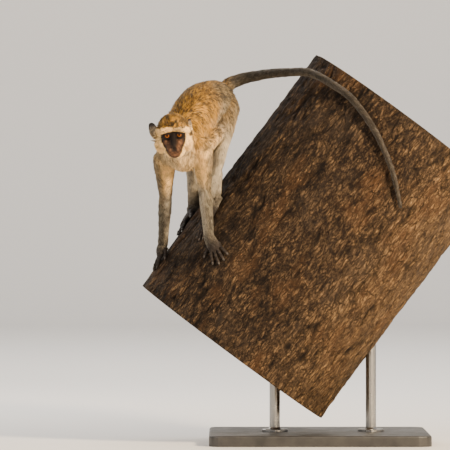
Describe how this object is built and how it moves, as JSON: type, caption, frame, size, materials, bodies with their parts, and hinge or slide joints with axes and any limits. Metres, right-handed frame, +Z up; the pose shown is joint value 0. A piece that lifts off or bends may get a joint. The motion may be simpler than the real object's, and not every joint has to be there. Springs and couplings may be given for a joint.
{
  "type": "vervet monkey model",
  "caption": "Life-size vervet monkey coming head down along a leaning tree trunk, its tail laid over the bark, with a short length of the trunk on a plain display stand.",
  "frame": {"origin": "middle of the stand base's underside, on the floor", "axes": "+Z up, -Y the side that the monkey's face looks towards, +X the side that the top of the leaning trunk is on"},
  "size_m": [0.8042, 0.6033, 0.8871],
  "materials": {
    "coat": "matt grizzled hair",
    "dark_skin": "matt bare skin",
    "eye": "gloss",
    "bark": "rough bark",
    "stand_base": "satin",
    "stand_rod": "brushed"
  },
  "bodies": {
    "root": {"head": "coat", "neck": "coat", "torso": "coat", "ear_left": "dark_skin", "ear_right": "dark_skin", "eye_left": "eye", "eye_right": "eye", "upper_arm_left": "coat", "upper_arm_right": "coat", "forearm_left": "coat", "forearm_right": "coat", "hand_left": "dark_skin", "hand_right": "dark_skin", "thigh_left": "coat", "thigh_right": "coat", "shank_left": "coat", "shank_right": "coat", "foot_left": "dark_skin", "foot_right": "dark_skin", "tail_root": "coat", "tail_arch": "coat", "tail_fall": "coat", "tail_end": "coat", "perch_log": "bark", "stand_base": "stand_base", "stand_rod_low": "stand_rod", "stand_rod_high": "stand_rod"}
  },
  "joints": []
}
